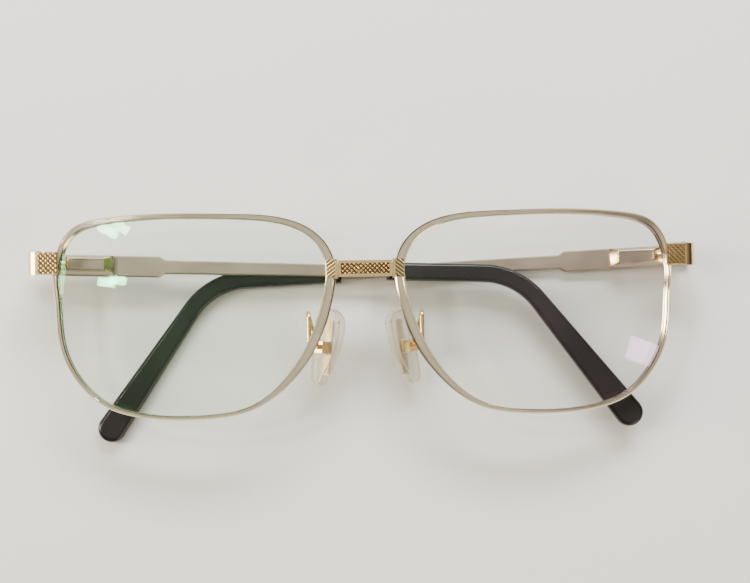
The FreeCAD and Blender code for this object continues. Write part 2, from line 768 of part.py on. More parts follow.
# ---------------------------------------------------------------- temples and tips
# A flat bar: butt at the hinge, a wide blade under the spring box, a shoulder, and a slim bar that
# runs on as a round core inside the plastic tip, which is bent down behind the ear.
plate_middle = -pin_to_plate - size("temple_thick") / 2


def bend_turn(side):
    """How far a tip is bent down. Each is fitted to its own ear, the right one a little more."""
    return math.radians(size("bend_angle") + side * size("bend_uneven"))


def bent_path(side, lift, end_short):
    """The tip's centre line: along the temple, round the bend and down to its end."""
    turn = bend_turn(side)
    start = Vector(-side * size("tip_start"), 0, lift)
    corner = Vector(-side * size("bend_station"), 0, lift)
    straight = size("tip_length") - end_short
    end = corner + Vector(-side * math.cos(turn), -math.sin(turn), 0) * straight
    return [start, corner, end]


for side_name, side in SIDES.items():
    frame = temple_frame(side)
    blade = size("blade_height") / 2
    butt = size("butt_height") / 2
    slim = size("bar_start_height") / 2
    fine = size("bar_end_height") / 2
    shoulder = size("blade_end") + size("shoulder_length")
    widening = size("butt_length") - size("butt_reach")
    upper = [(-size("butt_reach"), butt), (widening - size("shoulder_length"), butt), (widening, blade),
             (size("blade_end"), blade), (shoulder, slim), (size("tip_start"), fine)]
    around = upper + [(a, -y) for a, y in reversed(upper)]
    bar, bar_pad = pad_body(f"bar_{side_name}", "XY_Plane", outline([(-side * a, y) for a, y in around]),
                            "temple_thick")
    round_edges(bar, bar_pad, f"bar_edges_{side_name}", "temple_edge", on_caps("z"), "Chamfer")
    bar.Placement = FreeCAD.Placement(Vector(0, 0, plate_middle), FreeCAD.Rotation())
    path = bent_wire(bent_path(side, plate_middle, size("core_short")), size("bend_radius"))
    core = wire_solid(path, size("core_radius"))
    cored = fuse(f"temple_bar_{side_name}", bar, feature(f"core_{side_name}", core))
    keep(cored, f"temple_bar_{side_name}", frame)

    # The tip's outline keeps the bar's height to the bend and widens to a round end.
    turn = bend_turn(side)
    half_start = size("tip_start_height") / 2
    half_end = size("tip_end_height") / 2
    ahead = Vector(-side * math.cos(turn), -math.sin(turn), 0)
    above = Vector(-side * math.sin(turn), math.cos(turn), 0)
    corner = Vector(-side * size("bend_station"), 0, 0)
    reach = size("bend_radius") * math.tan(turn / 2)
    bend_start = Vector(-side * (size("bend_station") - reach), 0, 0)
    bend_end = corner + ahead * reach
    bend_centre = bend_start - Y_AXIS * size("bend_radius")
    halfway = Vector(-side * math.sin(turn / 2), math.cos(turn / 2), 0)
    bend_top = bend_centre + halfway * (size("bend_radius") + half_start)
    bend_bottom = bend_centre + halfway * (size("bend_radius") - half_start)
    tip_end = corner + ahead * (size("tip_length") - half_end)
    start = Vector(-side * size("tip_start"), 0, 0)
    rise = Y_AXIS * half_start
    lift = above * half_start
    edges = [
        Part.LineSegment(start - rise, start + rise),
        Part.LineSegment(start + rise, bend_start + rise),
        Part.Arc(bend_start + rise, bend_top, bend_end + lift),
        Part.LineSegment(bend_end + lift, tip_end + above * half_end),
        Part.Arc(tip_end + above * half_end, tip_end + ahead * half_end, tip_end - above * half_end),
        Part.LineSegment(tip_end - above * half_end, bend_end - lift),
        Part.Arc(bend_end - lift, bend_bottom, bend_start - rise),
        Part.LineSegment(bend_start - rise, start - rise),
    ]
    tip, tip_pad = pad_body(f"tip_{side_name}", "XY_Plane", edges, "tip_thick")
    round_edges(tip, tip_pad, f"tip_edges_{side_name}", "tip_edge", on_caps("z"))
    tip.Placement = FreeCAD.Placement(Vector(0, 0, tip_middle), FreeCAD.Rotation())
    keep(cut(f"temple_tip_{side_name}", tip, feature(f"core_hole_{side_name}", core)),
         f"temple_tip_{side_name}", frame)

# ---------------------------------------------------------------- nose pads
# A clear pad moulded round a metal core, whose boss rocks on a small screw in a box at the end of
# the pad arm. The pad's own frame: X across the pad, Y up it, and -Z towards the nose.
pad_box_inner = size("boss_width") / 2 + size("pad_box_play")
pad_box_outer = pad_box_inner + size("pad_box_wall")
boss_top = size("pad_thick") / 2 + size("boss_depth")
screw_lift = size("pad_thick") / 2 + size("boss_depth") / 2
box_low = size("pad_thick") / 2 + size("pad_box_play")
box_floor = boss_top + size("pad_box_floor_gap")
box_high = box_floor + size("pad_box_wall")
half_box = size("boss_height") / 2 + size("pad_box_play")
half_boss = size("boss_width") / 2
half_boss_tall = size("boss_height") / 2
half_core = size("core_width") / 2
half_core_long = size("core_length") / 2
half_core_thick = size("core_thick") / 2


def core_blank(name):
    """The metal strip inside the pad with the boss that stands up out of it."""
    strip = box(name + "_strip", (-half_core, -half_core_long, -half_core_thick),
                (half_core, half_core_long, half_core_thick))
    boss = box(name + "_boss", (-half_boss, -half_boss_tall, 0), (half_boss, half_boss_tall, boss_top))
    return fuse(name, strip, boss)


def pad_frame(side):
    """The pad's middle behind the rim, turned to the nose and leaned out at its foot."""
    place = Vector(side * size("pad_out"), -size("pad_down"), -size("pad_back"))
    lean = FreeCAD.Rotation(Z_AXIS, side * size("pad_lean"))
    yaw = FreeCAD.Rotation(Y_AXIS, side * size("pad_turn"))
    return front_frame * FreeCAD.Placement(place, lean * yaw)


for side_name, side in SIDES.items():
    frame = pad_frame(side)
    half_long = size("pad_length") / 2
    half_wide = size("pad_width") / 2
    # Straight along the outer side, widest near the top on the nose side, and a round foot.
    nose = -side
    outer_edge = side * half_wide
    shoulder_up = half_long - half_wide * size("pad_top_share")
    foot_up = half_wide * size("pad_foot_share") - half_long
    shoulder = Vector(-outer_edge, shoulder_up, 0)
    foot_start = Vector(nose * half_wide * size("pad_foot_start_share"), foot_up, 0)
    foot_end = Vector(outer_edge, foot_up, 0)
    waist = Vector(nose * half_wide * size("pad_waist_share"), -half_long * size("pad_waist_drop_share"), 0)
    lowest = Vector(-nose * half_wide * size("pad_foot_low_share"), -half_long, 0)
    edges = [
        Part.LineSegment(foot_end, Vector(outer_edge, shoulder_up, 0)),
        Part.Arc(Vector(outer_edge, shoulder_up, 0), Vector(0, half_long, 0), shoulder),
        Part.Arc(shoulder, waist, foot_start),
        Part.Arc(foot_start, lowest, foot_end),
    ]
    blank, blank_pad = pad_body(f"pad_{side_name}", "XY_Plane", edges, "pad_thick")
    round_edges(blank, blank_pad, f"pad_edges_{side_name}", "pad_edge", on_caps("z"))

    screw_hole = rod(f"boss_hole_{side_name}", "pad_screw_radius", 2 * half_boss, (-half_boss, 0, screw_lift),
                     X_AXIS, " + Sizes.screw_play")
    core = core_blank(f"core_solid_{side_name}")
    keep(cut(f"pad_core_{side_name}", core, screw_hole), f"pad_core_{side_name}", frame)
    keep(cut(f"nose_pad_{side_name}", blank, core_blank(f"core_room_{side_name}")),
         f"nose_pad_{side_name}", frame)

    shell = box(f"pad_box_shell_{side_name}", (-pad_box_outer, -half_box, box_low),
                (pad_box_outer, half_box, box_high))
    hollow = box(f"pad_box_hollow_{side_name}", (-pad_box_inner, -half_box, box_low),
                 (pad_box_inner, half_box, box_floor))
    through = rod(f"pad_box_hole_{side_name}", "pad_screw_radius", 2 * pad_box_outer,
                  (-pad_box_outer, 0, screw_lift), X_AXIS)
    keep(cut(f"pad_box_{side_name}", shell, hollow, through), f"pad_box_{side_name}", frame)

    shank = rod(f"pad_shank_{side_name}", "pad_screw_radius", 2 * pad_box_outer,
                (-pad_box_outer, 0, screw_lift), X_AXIS)
    head_at = side * pad_box_outer
    head = rod(f"pad_head_{side_name}", "pad_head_radius", size("pad_head_height"),
               (head_at, 0, screw_lift), Vector(side, 0, 0))
    keep(fuse(f"pad_screw_{side_name}", shank, head), f"pad_screw_{side_name}", frame)

    # The arm: soldered behind the eyewire, looped outwards and over, and brazed to the box's floor.
    to_front = front_frame.inverse() * frame
    foot_x = side * size("arm_foot_out")
    foot_y = -size("arm_foot_down")
    foot_z = rim_middle(side, foot_x, foot_y) - size("rim_depth") / 2
    box_end = to_front.multVec(Vector(0, 0, box_high))
    box_above = to_front.multVec(Vector(0, 0, box_high + size("pad_rock_room")))
    loop_y = -size("arm_loop_down")
    route = [
        Vector(foot_x, foot_y, foot_z + size("arm_radius")),
        Vector(foot_x, foot_y, foot_z - size("arm_stand_off")),
        Vector(side * size("arm_loop_out"), loop_y, foot_z - size("arm_loop_back")),
        Vector(box_above.x, loop_y, box_above.z),
        box_above,
        box_end,
    ]
    arm = feature(f"arm_wire_{side_name}", wire_solid(bent_wire(route, size("arm_bend")), size("arm_radius")))
    keep(without_rim(f"pad_arm_{side_name}", arm, side_name), f"pad_arm_{side_name}", front_frame)

# ---------------------------------------------------------------- check, centre and write
doc.recompute()
for obj in doc.Objects:
    for fault in ("Invalid", "Error"):
        if fault in obj.State:
            raise RuntimeError(f"{obj.Name} is {fault}")
whole = FreeCAD.BoundBox()
for obj in nodes.values():
    whole.add(obj.Shape.optimalBoundingBox(False, False))
to_origin = FreeCAD.Placement(Vector(-whole.Center.x, -whole.Center.y, -whole.ZMin), FreeCAD.Rotation())
for obj in nodes.values():
    obj.Placement = to_origin * obj.Placement
doc.recompute()
for name, obj in nodes.items():
    shape = obj.Shape
    if shape.isNull() or not shape.isValid() or len(shape.Solids) != 1:
        raise RuntimeError(f"{name} isn't one sound solid")
for name, obj in nodes.items():
    obj.Shape.exportStep(f"parts/{name}.step")
print(len(nodes), "parts", [round(v, 2) for v in (whole.XLength, whole.YLength, whole.ZLength)])
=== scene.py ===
import bpy
import json
import math
from mathutils import Matrix, Vector


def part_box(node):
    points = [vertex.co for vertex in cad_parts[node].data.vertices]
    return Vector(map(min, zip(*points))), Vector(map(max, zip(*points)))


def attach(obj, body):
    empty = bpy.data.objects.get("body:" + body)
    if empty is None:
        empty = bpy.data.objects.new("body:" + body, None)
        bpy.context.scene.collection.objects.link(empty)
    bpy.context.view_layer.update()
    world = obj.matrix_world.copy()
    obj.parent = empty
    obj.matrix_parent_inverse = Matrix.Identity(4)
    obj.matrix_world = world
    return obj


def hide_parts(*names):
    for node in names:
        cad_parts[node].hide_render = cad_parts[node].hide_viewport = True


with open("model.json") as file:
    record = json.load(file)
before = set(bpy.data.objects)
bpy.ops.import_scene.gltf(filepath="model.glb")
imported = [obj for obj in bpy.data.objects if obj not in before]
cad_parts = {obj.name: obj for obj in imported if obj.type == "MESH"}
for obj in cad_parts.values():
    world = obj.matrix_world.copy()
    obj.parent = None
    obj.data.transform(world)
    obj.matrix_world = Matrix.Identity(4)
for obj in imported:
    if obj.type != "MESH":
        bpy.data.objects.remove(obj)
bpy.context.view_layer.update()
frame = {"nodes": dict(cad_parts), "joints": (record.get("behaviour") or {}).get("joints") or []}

# Folding eyeglasses with full metal rims, lying folded on the outer face of the right temple.
# All lengths are in metres. Left is the -X side and right the +X side, seen from the front.

# ---------------------------------------------------------------- floor, light and camera
# A plain pale floor and soft studio light: a long window-like panel past the top of the front, a wide
# warm panel to the left, a low warm fill and a bright sky overhead, with the camera almost straight
# above.


class Wire:
    """One value of a material's nodes, on which sums can be written."""

    def __init__(self, tree, socket):
        self.tree = tree
        self.socket = socket

    def node(self, kind, settings, inputs, output=0):
        """A new node with its settings made first, then its sockets' values or links."""
        made = self.tree.nodes.new(kind)
        for key, value in settings.items():
            if key == "stops":
                ramp = made.color_ramp.elements
                ramp[0].position, ramp[0].color = value[0]
                ramp[-1].position, ramp[-1].color = value[-1]
                for position, colour in value[1:-1]:
                    ramp.new(position).color = colour
            else:
                setattr(made, key, value)
        for key, value in inputs.items():
            if isinstance(value, Wire):
                self.tree.links.new(value.socket, made.inputs[key])
            else:
                made.inputs[key].default_value = value
        return Wire(self.tree, made.outputs[output]) if made.outputs else None

    def maths(self, operation, first, second):
        return self.node("ShaderNodeMath", {"operation": operation}, {0: first, 1: second})

    def __add__(self, other):
        return self.maths("ADD", self, other)

    __radd__ = __add__

    def __mul__(self, other):
        return self.maths("MULTIPLY", self, other)

    __rmul__ = __mul__

    def noise(self, scale, detail, stretch=(1, 1, 1)):
        """Cloudy grain on the object's own coordinates, in cycles per metre."""
        stretched = self.node("ShaderNodeMapping", {}, {"Vector": self, "Scale": stretch})
        return self.node(
            "ShaderNodeTexNoise", {}, {"Vector": stretched, "Scale": scale, "Detail": detail})

    def blend_colour(self, dark, light):
        """The colour between two, picked by this value."""
        return self.node(
            "ShaderNodeMix", {"data_type": "RGBA"}, {0: self, 6: (*dark, 1), 7: (*light, 1)}, 2)


FLOOR_SIZE = 4
FLOOR_DROP = 0.00002
bpy.ops.object.select_all(action="DESELECT")
bpy.ops.mesh.primitive_plane_add(size=FLOOR_SIZE, location=(0, 0, -FLOOR_DROP))
floor = bpy.context.active_object
floor.name = "floor"
floor_paint = bpy.data.materials.new("floor_paint")
floor_paint.use_nodes = True
floor_shader = floor_paint.node_tree.nodes["Principled BSDF"]
floor_shader.inputs["Base Color"].default_value = (0.74, 0.73, 0.70, 1)
floor_shader.inputs["Roughness"].default_value = 0.75
floor.data.materials.append(floor_paint)

# Each lamp's place, its width and height, its watts and its tint. All of them aim at the glasses. The
# small strips and the patch are mirrored in the lenses' coating.
LAMPS = {
    "window_panel": ((0.08, 0.62, 0.48), (0.70, 0.24), 15.0, (0.94, 0.98, 1.0)),
    "side_panel": ((-0.72, 0.06, 0.30), (0.24, 0.60), 10.0, (1.0, 0.90, 0.72)),
    "warm_fill": ((0.50, -0.60, 0.30), (0.50, 0.20), 4.0, (1.0, 0.84, 0.62)),
    "upper_strip": ((-0.370, 0.192, 0.500), (0.022, 0.060), 0.35, (1.0, 1.0, 1.0)),
    "upper_strip_pair": ((-0.335, 0.200, 0.505), (0.022, 0.060), 0.35, (1.0, 1.0, 1.0)),
    "lower_strip": ((-0.375, 0.054, 0.522), (0.020, 0.045), 0.25, (1.0, 1.0, 1.0)),
    "lower_strip_pair": ((-0.343, 0.058, 0.530), (0.020, 0.045), 0.25, (1.0, 1.0, 1.0)),
    "plum_patch": ((0.470, -0.140, 0.420), (0.060, 0.090), 0.30, (1.0, 0.95, 1.0)),
}
for lamp_name, (lamp_place, lamp_size, watts, tint) in LAMPS.items():
    bpy.ops.object.light_add(type="AREA", location=lamp_place)
    lamp = bpy.context.active_object
    lamp.name = lamp_name
    lamp.data.shape = "RECTANGLE"
    lamp.data.size, lamp.data.size_y = lamp_size
    lamp.data.energy = watts
    lamp.data.color = tint
    lamp.rotation_euler = (-Vector(lamp_place)).to_track_quat("-Z", "Y").to_euler()

room = bpy.data.worlds.new("room")
bpy.context.scene.world = room
room.use_nodes = True
room.node_tree.nodes.clear()
sky = Wire(room.node_tree, room.node_tree.nodes.new("ShaderNodeTexCoord").outputs["Generated"])
height = sky.node("ShaderNodeSeparateXYZ", {}, {0: sky}, 2)
dome = height.node(
    "ShaderNodeValToRGB",
    {"stops": [(0.0, (0.05, 0.045, 0.04, 1)), (0.55, (0.10, 0.09, 0.08, 1)),
               (0.86, (0.34, 0.31, 0.27, 1)), (0.95, (1.0, 0.93, 0.80, 1)),
               (1.0, (0.90, 0.86, 0.78, 1))]},
    {0: height})
glow = sky.node("ShaderNodeBackground", {}, {"Color": dome, "Strength": 0.95})
sky.node("ShaderNodeOutputWorld", {}, {"Surface": glow})

CAMERA_PLACE = (-0.0029, -0.0319, 0.3072)
CAMERA_TURN = (7.43, -0.83, -1.19)
bpy.ops.object.camera_add(location=CAMERA_PLACE)
camera = bpy.context.active_object
camera.rotation_euler = [math.radians(turn) for turn in CAMERA_TURN]
camera.data.sensor_width = 36
camera.data.lens = 69.6
camera.data.clip_start = 0.01
bpy.context.scene.camera = camera

# ---------------------------------------------------------------- rims
# Two closed eyewires of nickel alloy, drawn to section with a groove for the lens, polished and
# plated pale champagne. A shallow line is rolled into the front face between two raised edges.
MM = 0.001
SIDES = {"left": -1, "right": 1}
FRONT_TILT = math.radians(5.75)
FRONT_LEAN = math.radians(1.2)
front_turn = Matrix.Rotation(FRONT_LEAN, 3, "Y") @ Matrix.Rotation(FRONT_TILT, 3, "X")
outwards = front_turn @ Vector((0, 0, 1))
WELD = 0.002 * MM
MARK_DEPTH = 0.05 * MM
RIM_EDGE = 0.16 * MM
RIM_LINE_SLOPE = 0.06 * MM
RIM_LINE_DEEP = 0.06 * MM


def new_finish(name):
    """An empty material, and the object's own coordinates to start its nodes from."""
    material = bpy.data.materials.new(name)
    material.use_nodes = True
    tree = material.node_tree
    tree.nodes.clear()
    place = Wire(tree, tree.nodes.new("ShaderNodeTexCoord").outputs["Object"])
    return material, place


def metal_finish(name, deep, bright, roughness, spread, grain=2600, stretch=(1, 1, 1), relief=0.06):
    """Plated metal: worn and bright patches, fine polishing marks, and their bump."""
    material, place = new_finish(name)
    patches = place.noise(scale=160, detail=3)
    marks = place.noise(scale=grain, detail=4, stretch=stretch)
    tone = (patches * 0.7 + marks * 0.3).blend_colour(deep, bright)
    rough = patches * spread + marks * spread + (roughness - spread)
    bump = place.node("ShaderNodeBump", {}, {
        "Strength": relief, "Distance": MARK_DEPTH, "Height": marks})
    shader = place.node("ShaderNodeBsdfPrincipled", {}, {
        "Base Color": tone, "Metallic": 1.0, "Roughness": rough, "Normal": bump})
    place.node("ShaderNodeOutputMaterial", {}, {"Surface": shader})
    return material


def paint(node, material):
    """Gives a carried-over node its finish."""
    for slot in frame["nodes"][node].material_slots:
        slot.material = material


def worked_copy(node, name):
    """A merged copy of a node's mesh as a new piece, open in edit mode with nothing selected."""
    mesh = frame["nodes"][node].data.copy()
    mesh.materials.clear()
    piece = bpy.data.objects.new(name, mesh)
    bpy.context.scene.collection.objects.link(piece)
    bpy.ops.object.select_all(action="DESELECT")
    piece.select_set(True)
    bpy.context.view_layer.objects.active = piece
    bpy.ops.mesh.customdata_custom_splitnormals_clear()
    bpy.ops.object.mode_set(mode="EDIT")
    bpy.ops.mesh.select_mode(type="FACE")
    bpy.ops.mesh.select_all(action="SELECT")
    bpy.ops.mesh.remove_doubles(threshold=WELD)
    bpy.ops.mesh.select_all(action="DESELECT")
    return piece


def pick_faces(piece, wanted):
    """Selects the faces of a piece in edit mode that the test picks."""
    bpy.ops.mesh.select_all(action="DESELECT")
    bpy.ops.object.mode_set(mode="OBJECT")
    for face in piece.data.polygons:
        face.select = wanted(face)
    bpy.ops.object.mode_set(mode="EDIT")
    bpy.ops.mesh.select_mode(type="FACE")


def finish_piece(piece, material, body, angle=35):
    """Leaves edit mode, shades the piece and lets it ride."""
    bpy.ops.object.mode_set(mode="OBJECT")
    bpy.ops.object.shade_smooth_by_angle(angle=math.radians(angle))
    piece.data.materials.append(material)
    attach(piece, body)


rim_plating = metal_finish("rim_plating", (0.60, 0.50, 0.34), (0.88, 0.79, 0.60), 0.17, 0.07)
for side_name in SIDES:
    rim = worked_copy(f"rim_{side_name}", f"eyewire_{side_name}")
    pick_faces(rim, lambda face: face.normal.dot(outwards) > 0.93)
    bpy.ops.mesh.inset(thickness=RIM_EDGE, depth=0)
    bpy.ops.mesh.inset(thickness=RIM_LINE_SLOPE, depth=-RIM_LINE_DEEP)
    finish_piece(rim, rim_plating, "front")
    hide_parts(f"rim_{side_name}")

# ---------------------------------------------------------------- lenses
# Clear menisci of mineral glass, ground to sit in the eyewires' grooves. Their anti-reflection coating
# mirrors a little of the light, green on the left lens and plum on the right.
lens_glass, place = new_finish("coated_glass")
edge_on = place.node("ShaderNodeLayerWeight", {}, {"Blend": 0.3}, 1)
smears = place.noise(scale=90, detail=3)
across = place.node("ShaderNodeSeparateXYZ", {}, {0: place})
coating = place.node(
    "ShaderNodeValToRGB",
    {"stops": [(0.25, (0.30, 1.0, 0.48, 1)), (0.55, (0.80, 0.92, 0.88, 1)),
               (0.85, (0.86, 0.42, 0.86, 1))]},
    {0: across * 6.0 + 0.5})
mirror = place.node("ShaderNodeBsdfPrincipled", {}, {
    "Base Color": coating, "Metallic": 1.0, "Roughness": smears * 0.03 + 0.01})
window = place.node("ShaderNodeBsdfTransparent", {}, {"Color": (0.965, 0.975, 0.96, 1)})
MIRRORED = 0.014
MIRRORED_EDGE_ON = 0.35
mirrored = MIRRORED + MIRRORED_EDGE_ON * edge_on
glass = place.node("ShaderNodeMixShader", {}, {0: mirrored, 1: window, 2: mirror})
place.node("ShaderNodeOutputMaterial", {}, {"Surface": glass})
for side_name in SIDES:
    paint(f"lens_{side_name}", lens_glass)

# ---------------------------------------------------------------- bridge
# A plated bar with a raised border round a strip of rolled beads, soldered between two saddle collars
# whose faces are cut with slanting ribs. All of it is polished pale gold.
gold_plating = metal_finish("gold_plating", (0.68, 0.46, 0.18), (0.98, 0.78, 0.42), 0.17, 0.06)
# This dark gold is painted shade, laid on the steep sides of the gaps between pressed cells.
gap_shade_gold = metal_finish("gap_shade_gold", (0.16, 0.09, 0.03), (0.34, 0.21, 0.08), 0.42, 0.08)


# Each cell of a pressed plate is inset three times, by a share of its size, and climbs a share of its
# height at each inset. What slopes more than the gap slope counts as the gap between cells, and gets
# painted shade.
CELL_GAP = 0.13
CELL_CLIMB = (0.55, 0.30, 0.15)
PLATE_DEEP = 0.2 * MM
GAP_SLOPE = 0.80
PLATE_SMOOTH = math.radians(25)


def front_face_middle(node):
    """The middle of a node's flat face that looks straight out of the front."""
    mesh = frame["nodes"][node].data
    flat = [face for face in mesh.polygons if face.normal.dot(outwards) > 0.9995]
    total = sum(face.area for face in flat)
    return sum((face.center * face.area for face in flat), Vector()) / total


def pressed_plate(name, across, tall, cell, turn, rise, at):
    """A small plate pressed into an even pattern of raised cells, lying in the front's own plane."""
    reach = across + tall
    columns = max(1, round(reach / cell[0]))
    rows = max(1, round(reach / cell[1]))
    gap = min(cell) * CELL_GAP
    bpy.ops.object.select_all(action="DESELECT")
    bpy.ops.mesh.primitive_grid_add(x_subdivisions=columns, y_subdivisions=rows, size=1)
    plate = bpy.context.active_object
    plate.name = name
    bpy.ops.object.mode_set(mode="EDIT")
    bpy.ops.mesh.select_mode(type="FACE")
    bpy.ops.mesh.select_all(action="SELECT")
    bpy.ops.transform.resize(value=(columns * cell[0], rows * cell[1], 1), center_override=(0, 0, 0))
    for share in CELL_CLIMB:
        bpy.ops.mesh.inset(thickness=gap, use_individual=True)
        bpy.ops.transform.translate(value=(0, 0, rise * share))
    bpy.ops.mesh.select_mode(type="EDGE")
    bpy.ops.mesh.select_all(action="DESELECT")
    bpy.ops.mesh.select_non_manifold()
    bpy.ops.mesh.extrude_edges_move(TRANSFORM_OT_translate={"value": (0, 0, -PLATE_DEEP)})
    bpy.ops.mesh.edge_face_add()
    bpy.ops.mesh.select_all(action="SELECT")
    bpy.ops.mesh.normals_make_consistent(inside=False)
    bpy.ops.transform.rotate(value=turn, orient_axis="Z", center_override=(0, 0, 0))
    bpy.ops.object.mode_set(mode="OBJECT")
    bpy.ops.mesh.primitive_cube_add(size=1, scale=(across, tall, 8 * PLATE_DEEP))
    cutter = bpy.context.active_object
    trimmed = plate.modifiers.new("trim", "BOOLEAN")
    trimmed.object = cutter
    trimmed.operation = "INTERSECT"
    bpy.ops.object.select_all(action="DESELECT")
    bpy.context.view_layer.objects.active = plate
    plate.select_set(True)
    bpy.ops.object.modifier_apply(modifier="trim")
    bpy.data.objects.remove(cutter)
    plate.matrix_world = Matrix.Translation(at) @ front_turn.to_4x4()
    bpy.ops.object.transform_apply(location=True, rotation=True, scale=True)
    return plate


def finish_plate(plate):
    """Bright cells, with painted shade on the steep sides of the gaps between them."""
    bpy.ops.object.shade_smooth_by_angle(angle=PLATE_SMOOTH)
    plate.data.materials.append(gold_plating)
    plate.data.materials.append(gap_shade_gold)
    # Faces steeper than the gap slope take the dark gold, as painted shade in the gaps.
    for face in plate.data.polygons:
        face.material_index = 1 if face.normal.dot(outwards) < GAP_SLOPE else 0
    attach(plate, "front")


paint("bridge_bar", gold_plating)
strip_middle = front_face_middle("bridge_inlay")
low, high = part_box("bridge_inlay")
STRIP_PLAY = 0.05 * MM
STRIP_TALL = 2.2 * MM
BEAD = 0.66 * MM
BEAD_RISE = 0.26 * MM
beads = pressed_plate(
    "bridge_beads", (high - low).x - STRIP_PLAY, STRIP_TALL, (BEAD, BEAD), math.radians(45), BEAD_RISE,
    strip_middle)
finish_plate(beads)
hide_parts("bridge_inlay")

RIBBED_ACROSS = 1.75 * MM
RIBBED_TALL = 3.7 * MM
RIB_LENGTH = 9 * MM
RIB_PITCH = 0.62 * MM
RIB_RISE = 0.26 * MM
RIB_SLANT = math.radians(38)
RIBBED_OUT = 0.3 * MM
RIBBED_SUNK = 0.04 * MM
for side_name, side in SIDES.items():
    collar = f"bridge_collar_{side_name}"
    paint(collar, gold_plating)
    middle = front_face_middle(collar) + front_turn @ Vector((side * RIBBED_OUT, 0, -RIBBED_SUNK))
    ribs = pressed_plate(
        f"collar_ribs_{side_name}", RIBBED_ACROSS, RIBBED_TALL, (RIB_LENGTH, RIB_PITCH),
        side * RIB_SLANT, RIB_RISE, middle)
    finish_plate(ribs)

# ---------------------------------------------------------------- endpieces and closing blocks
# A strip bent back at its outer end, its flat face rolled with small diamonds, soldered to the rim.
# Two blocks behind it hold the cut ends of the eyewire together with a slotted screw.
steel = metal_finish("polished_steel", (0.55, 0.50, 0.42), (0.80, 0.76, 0.68), 0.24, 0.06)
KNURL_ACROSS = 3.8 * MM
KNURL_TALL = 4.1 * MM
KNURL_CELL = 0.70 * MM
KNURL_RISE = 0.34 * MM
KNURL_SUNK = 0.05 * MM
for side_name, side in SIDES.items():
    endpiece = f"endpiece_{side_name}"
    paint(endpiece, gold_plating)
    middle = front_face_middle(endpiece) - outwards * KNURL_SUNK
    knurl = pressed_plate(
        f"knurled_face_{side_name}", KNURL_ACROSS, KNURL_TALL, (KNURL_CELL, KNURL_CELL),
        math.radians(45), KNURL_RISE, middle)
    finish_plate(knurl)
    paint(f"closing_block_upper_{side_name}", rim_plating)
    paint(f"closing_block_lower_{side_name}", rim_plating)
    paint(f"closing_screw_{side_name}", steel)

# ---------------------------------------------------------------- hinges
# Two ears of nickel alloy, soldered inside each endpiece, hold the sprung eye of the temple between them
# on a slotted screw of polished steel.
for side_name in SIDES:
    paint(f"hinge_front_{side_name}", rim_plating)
    paint(f"hinge_screw_{side_name}", steel)
    paint(f"flex_carriage_{side_name}", steel)

# ---------------------------------------------------------------- springs inside the temples
# The eye's stem runs through a steel bush at the mouth of the housing and carries a nut at its far end.
# A coil of spring steel is held between the two, and pulls the temple back onto the hinge.
spring_wire = metal_finish("spring_wire", (0.38, 0.38, 0.38), (0.62, 0.62, 0.62), 0.30, 0.06)
for side_name in SIDES:
    for inner in ("flex_nut", "flex_bush", "flex_spring"):
        paint(f"{inner}_{side_name}", spring_wire)

# ---------------------------------------------------------------- temples
# Flat bars stamped from nickel alloy, satin brushed along their length and plated champagne, with the
# bevelled housing of the spring hinge soldered on the inner face.
satin_plating = metal_finish("satin_plating", (0.33, 0.25, 0.19), (0.62, 0.52, 0.42), 0.32, 0.07,
                             grain=5200, stretch=(0.06, 1, 1), relief=0.12)
HOUSING_START = 2.3 * MM
HOUSING_LENGTH = 11.8 * MM
HOUSING_HEIGHT = 4.0 * MM
HOUSING_LOW = -1.3 * MM
HOUSING_SHOULDER = 0.075 * MM
HOUSING_TOP = 1.2 * MM
TOP_START = 4.7 * MM
TOP_LENGTH = 7.6 * MM
TOP_HEIGHT = 2.5 * MM
BORE_RADIUS = 0.9 * MM
BORE_END = 12.8 * MM
TEMPLE_DROP = math.radians(2.15)
HOUSING_ROUND = 0.14 * MM
PANEL_EDGE = 0.22 * MM
PANEL_SLOPE = 0.06 * MM
PANEL_DEEP = 0.08 * MM
housing_middle = HOUSING_START + HOUSING_LENGTH / 2
top_middle = TOP_START + TOP_LENGTH / 2
pins = {joint["name"]: Vector(joint["pos_m"]) for joint in frame["joints"] if "pos_m" in joint}
